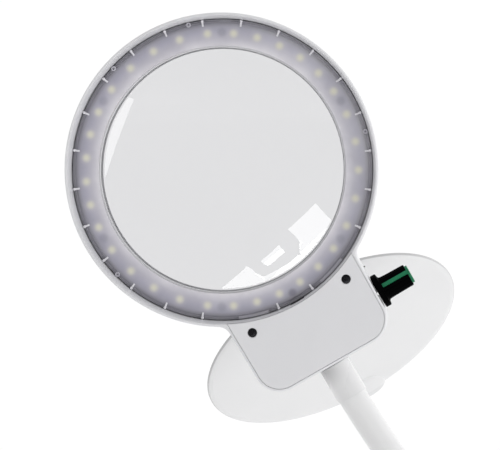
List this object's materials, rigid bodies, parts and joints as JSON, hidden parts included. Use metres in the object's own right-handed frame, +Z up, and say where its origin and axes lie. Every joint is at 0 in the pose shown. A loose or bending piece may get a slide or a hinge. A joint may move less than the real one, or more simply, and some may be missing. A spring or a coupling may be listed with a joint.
{
  "type": "magnifying lamp",
  "caption": "Desk magnifying lamp: round lens in a lighted ring head with a flip-up cover and side dimmer, on a bendable neck and a weighted round base.",
  "frame": {"origin": "middle of the base's underside, on the table", "axes": "+Z up. The head's lighted face looks along -Y and the lens cover opens behind it, towards +Y. The neck rises from the base's +X side and the head leans towards -X."},
  "size_m": [0.2782, 0.2396, 0.5231],
  "materials": {
    "white_plastic": "satin moulded",
    "cover_plastic": "satin moulded",
    "white_paint": "white enamel",
    "black_plastic": "fine matt",
    "black_screw": "black oxide",
    "green_plastic": "satin moulded",
    "lens_glass": "polished",
    "frosted_plastic": "frosted, lets light through",
    "white_board": "white solder mask",
    "green_board": "green solder mask",
    "zinc_steel": "zinc plated",
    "cast_iron": "as cast",
    "grey_rubber": "matt",
    "neck_vinyl": "smooth soft vinyl",
    "black_foam": "closed-cell foam",
    "lead_vinyl": "vinyl"
  },
  "bodies": {
    "base": {"base_cover": "white_plastic", "base_weight": "cast_iron", "base_plate": "zinc_steel", "base_pad": "black_foam", "base_screw_1": "zinc_steel", "base_screw_2": "zinc_steel", "base_screw_3": "zinc_steel", "neck_base_collar": "white_paint", "neck_base_nut": "zinc_steel", "power_inlet": "black_plastic", "power_inlet_nut": "zinc_steel", "neck_sleeve_base": "neck_vinyl", "neck_core_base": "zinc_steel", "power_lead": "lead_vinyl"},
    "neck_1": {"neck_sleeve_1": "neck_vinyl", "neck_core_1": "zinc_steel"},
    "neck_2": {"neck_sleeve_2": "neck_vinyl", "neck_core_2": "zinc_steel"},
    "neck_3": {"neck_sleeve_3": "neck_vinyl", "neck_core_3": "zinc_steel"},
    "neck_4": {"neck_sleeve_4": "neck_vinyl", "neck_core_4": "zinc_steel"},
    "neck_5": {"neck_sleeve_5": "neck_vinyl", "neck_core_5": "zinc_steel"},
    "head": {"head_shell": "white_plastic", "handle_cover": "white_plastic", "handle_cover_screw_left": "black_screw", "handle_cover_screw_right": "black_screw", "diffuser_ring": "frosted_plastic", "led_ring_board": "white_board", "led_board_screw_1": "black_screw", "led_board_screw_2": "black_screw", "led_board_screw_3": "black_screw", "led_board_screw_4": "black_screw", "led_board_screw_5": "black_screw", "led_board_screw_6": "black_screw", "lens": "lens_glass", "lens_seat_gasket": "grey_rubber", "lens_retaining_ring": "white_plastic", "driver_board": "green_board", "driver_coil": "black_plastic", "driver_capacitor": "zinc_steel", "led_lead": "lead_vinyl", "dimmer_potentiometer": "zinc_steel", "dimmer_nut": "zinc_steel", "neck_ferrule": "white_paint", "neck_ferrule_nut": "zinc_steel", "cover_hinge_bracket": "white_plastic", "cover_hinge_pin": "zinc_steel", "hinge_screw_left": "zinc_steel", "hinge_screw_right": "zinc_steel", "neck_sleeve_head": "neck_vinyl", "neck_core_head": "zinc_steel"},
    "dimmer": {"dimmer_shaft": "zinc_steel", "dimmer_knob": "black_plastic", "dimmer_pointer": "green_plastic"},
    "cover": {"lens_cover": "cover_plastic"}
  },
  "joints": [
    {"name": "neck_bend_1", "type": "hinge", "parent": "base", "child": "neck_1", "pos_m": [0.062, 0, 0.0573], "axis": [0, 1, 0], "range_deg": [-18, 18], "deforming": ["power_lead"]},
    {"name": "neck_bend_2", "type": "hinge", "parent": "neck_1", "child": "neck_2", "pos_m": [0.05695, 0, 0.11508], "axis": [0.989, 0, 0.1478], "range_deg": [-18, 18]},
    {"name": "neck_bend_3", "type": "hinge", "parent": "neck_2", "child": "neck_3", "pos_m": [0.04489, 0, 0.17181], "axis": [0, 1, 0], "range_deg": [-18, 18]},
    {"name": "neck_bend_4", "type": "hinge", "parent": "neck_3", "child": "neck_4", "pos_m": [0.02505, 0, 0.22631], "axis": [0.9135, 0, 0.4067], "range_deg": [-18, 18]},
    {"name": "neck_bend_5", "type": "hinge", "parent": "neck_4", "child": "neck_5", "pos_m": [-0.00218, 0, 0.27753], "axis": [0, 1, 0], "range_deg": [-18, 18]},
    {"name": "neck_bend_6", "type": "hinge", "parent": "neck_5", "child": "head", "pos_m": [-0.03461, 0, 0.32561], "axis": [0.848, 0, 0.5299], "range_deg": [-18, 18]},
    {"name": "lens_cover_hinge", "type": "hinge", "parent": "head", "child": "cover", "pos_m": [-0.07006, 0.0138, 0.38701], "axis": [0.866, 0, 0.5], "range_deg": [0, 121]},
    {"name": "dimmer_turn", "type": "hinge", "parent": "head", "child": "dimmer", "pos_m": [-0.05781, 0, 0.36579], "axis": [0.866, 0, 0.5], "range_deg": [-150, 150]}
  ]
}
